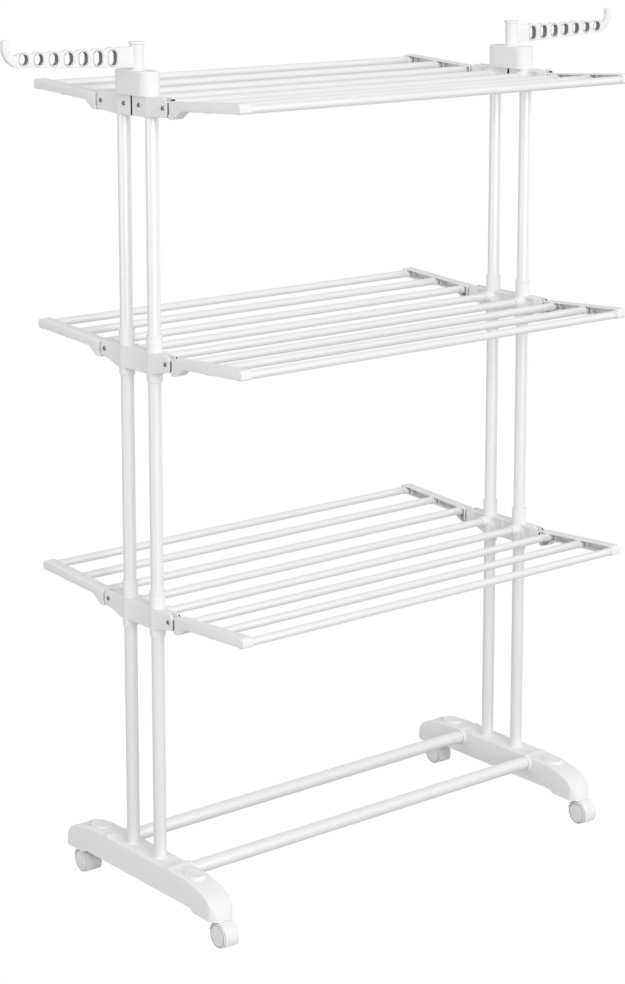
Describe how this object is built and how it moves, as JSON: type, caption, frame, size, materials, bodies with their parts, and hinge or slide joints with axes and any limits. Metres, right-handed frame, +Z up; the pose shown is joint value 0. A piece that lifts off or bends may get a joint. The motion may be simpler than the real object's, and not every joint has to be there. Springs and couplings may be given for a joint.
{
  "type": "clothes drying rack",
  "caption": "Free-standing rolling drying rack: tiers of rods with wings that fold up, swivelling hanger arms with hooks, and two feet on twin-wheel casters.",
  "frame": {"origin": "on the floor under the middle of the rack", "axes": "+Z up, X along the rods, the front at -Y"},
  "size_m": [1.54, 0.6644, 1.706],
  "materials": {
    "white_plastic": "satin moulded",
    "white_tube": "satin powder coat",
    "wheel_plastic": "satin moulded",
    "screw_steel": "dark zinc"
  },
  "bodies": {
    "frame": {"foot_left": "white_plastic", "foot_right": "white_plastic", "base_tube_front": "white_tube", "base_tube_back": "white_tube", "post_front_left": "white_tube", "post_front_right": "white_tube", "post_back_left": "white_tube", "post_back_right": "white_tube", "lower_bracket_left": "white_plastic", "lower_bracket_right": "white_plastic", "lower_centre_rod_front": "white_tube", "lower_centre_rod_back": "white_tube", "middle_bracket_left": "white_plastic", "middle_bracket_right": "white_plastic", "middle_centre_rod_front": "white_tube", "middle_centre_rod_back": "white_tube", "top_bracket_left": "white_plastic", "top_bracket_right": "white_plastic", "top_centre_rod_front": "white_tube", "top_centre_rod_back": "white_tube"},
    "lower_wing_front": {"lower_front_arm_left": "white_plastic", "lower_front_arm_right": "white_plastic", "lower_front_rod_1": "white_tube", "lower_front_rod_2": "white_tube", "lower_front_rod_3": "white_tube"},
    "lower_wing_back": {"lower_back_arm_left": "white_plastic", "lower_back_arm_right": "white_plastic", "lower_back_rod_1": "white_tube", "lower_back_rod_2": "white_tube", "lower_back_rod_3": "white_tube"},
    "middle_wing_front": {"middle_front_arm_left": "white_plastic", "middle_front_arm_right": "white_plastic", "middle_front_rod_1": "white_tube", "middle_front_rod_2": "white_tube", "middle_front_rod_3": "white_tube"},
    "middle_wing_back": {"middle_back_arm_left": "white_plastic", "middle_back_arm_right": "white_plastic", "middle_back_rod_1": "white_tube", "middle_back_rod_2": "white_tube", "middle_back_rod_3": "white_tube"},
    "top_wing_front": {"top_front_arm_left": "white_plastic", "top_front_arm_right": "white_plastic", "top_front_rod_1": "white_tube", "top_front_rod_2": "white_tube", "top_front_rod_3": "white_tube"},
    "top_wing_back": {"top_back_arm_left": "white_plastic", "top_back_arm_right": "white_plastic", "top_back_rod_1": "white_tube", "top_back_rod_2": "white_tube", "top_back_rod_3": "white_tube"},
    "hanger_left": {"hanger_arm_left": "white_plastic"},
    "hanger_right": {"hanger_arm_right": "white_plastic"},
    "caster_front_left": {"caster_housing_front_left": "white_plastic"},
    "wheels_front_left": {"caster_wheels_front_left": "wheel_plastic"},
    "caster_front_right": {"caster_housing_front_right": "white_plastic"},
    "wheels_front_right": {"caster_wheels_front_right": "wheel_plastic"},
    "caster_back_left": {"caster_housing_back_left": "white_plastic"},
    "wheels_back_left": {"caster_wheels_back_left": "wheel_plastic"},
    "caster_back_right": {"caster_housing_back_right": "white_plastic"},
    "wheels_back_right": {"caster_wheels_back_right": "wheel_plastic"}
  },
  "joints": [
    {"name": "lower_wing_front_fold", "type": "hinge", "parent": "frame", "child": "lower_wing_front", "pos_m": [0, -0.0995, 0.6015], "axis": [-1, 0, 0], "range_deg": [0, 90]},
    {"name": "lower_wing_back_fold", "type": "hinge", "parent": "frame", "child": "lower_wing_back", "pos_m": [0, 0.0995, 0.6015], "axis": [1, 0, 0], "range_deg": [0, 90]},
    {"name": "middle_wing_front_fold", "type": "hinge", "parent": "frame", "child": "middle_wing_front", "pos_m": [0, -0.0995, 1.0993], "axis": [-1, 0, 0], "range_deg": [0, 90]},
    {"name": "middle_wing_back_fold", "type": "hinge", "parent": "frame", "child": "middle_wing_back", "pos_m": [0, 0.0995, 1.0993], "axis": [1, 0, 0], "range_deg": [0, 90]},
    {"name": "top_wing_front_fold", "type": "hinge", "parent": "frame", "child": "top_wing_front", "pos_m": [0, -0.0995, 1.5757], "axis": [-1, 0, 0], "range_deg": [0, 90]},
    {"name": "top_wing_back_fold", "type": "hinge", "parent": "frame", "child": "top_wing_back", "pos_m": [0, 0.0995, 1.5757], "axis": [1, 0, 0], "range_deg": [0, 90]},
    {"name": "hanger_left_swing", "type": "hinge", "parent": "frame", "child": "hanger_left", "pos_m": [-0.478, 0, 1.6385], "axis": [0, 0, 1], "range_deg": [-180, 180]},
    {"name": "hanger_right_swing", "type": "hinge", "parent": "frame", "child": "hanger_right", "pos_m": [0.478, 0, 1.6385], "axis": [0, 0, 1], "range_deg": [-180, 180]},
    {"name": "caster_front_left_swivel", "type": "hinge", "parent": "frame", "child": "caster_front_left", "pos_m": [-0.478, -0.229, 0.0605], "axis": [0, 0, 1], "continuous": true},
    {"name": "wheels_front_left_roll", "type": "hinge", "parent": "caster_front_left", "child": "wheels_front_left", "pos_m": [-0.478, -0.25, 0.0235], "axis": [1, 0, 0], "continuous": true},
    {"name": "caster_front_right_swivel", "type": "hinge", "parent": "frame", "child": "caster_front_right", "pos_m": [0.478, -0.229, 0.0605], "axis": [0, 0, 1], "continuous": true},
    {"name": "wheels_front_right_roll", "type": "hinge", "parent": "caster_front_right", "child": "wheels_front_right", "pos_m": [0.478, -0.25, 0.0235], "axis": [1, 0, 0], "continuous": true},
    {"name": "caster_back_left_swivel", "type": "hinge", "parent": "frame", "child": "caster_back_left", "pos_m": [-0.478, 0.229, 0.0605], "axis": [0, 0, 1], "continuous": true},
    {"name": "wheels_back_left_roll", "type": "hinge", "parent": "caster_back_left", "child": "wheels_back_left", "pos_m": [-0.478, 0.208, 0.0235], "axis": [1, 0, 0], "continuous": true},
    {"name": "caster_back_right_swivel", "type": "hinge", "parent": "frame", "child": "caster_back_right", "pos_m": [0.478, 0.229, 0.0605], "axis": [0, 0, 1], "continuous": true},
    {"name": "wheels_back_right_roll", "type": "hinge", "parent": "caster_back_right", "child": "wheels_back_right", "pos_m": [0.478, 0.208, 0.0235], "axis": [1, 0, 0], "continuous": true}
  ]
}
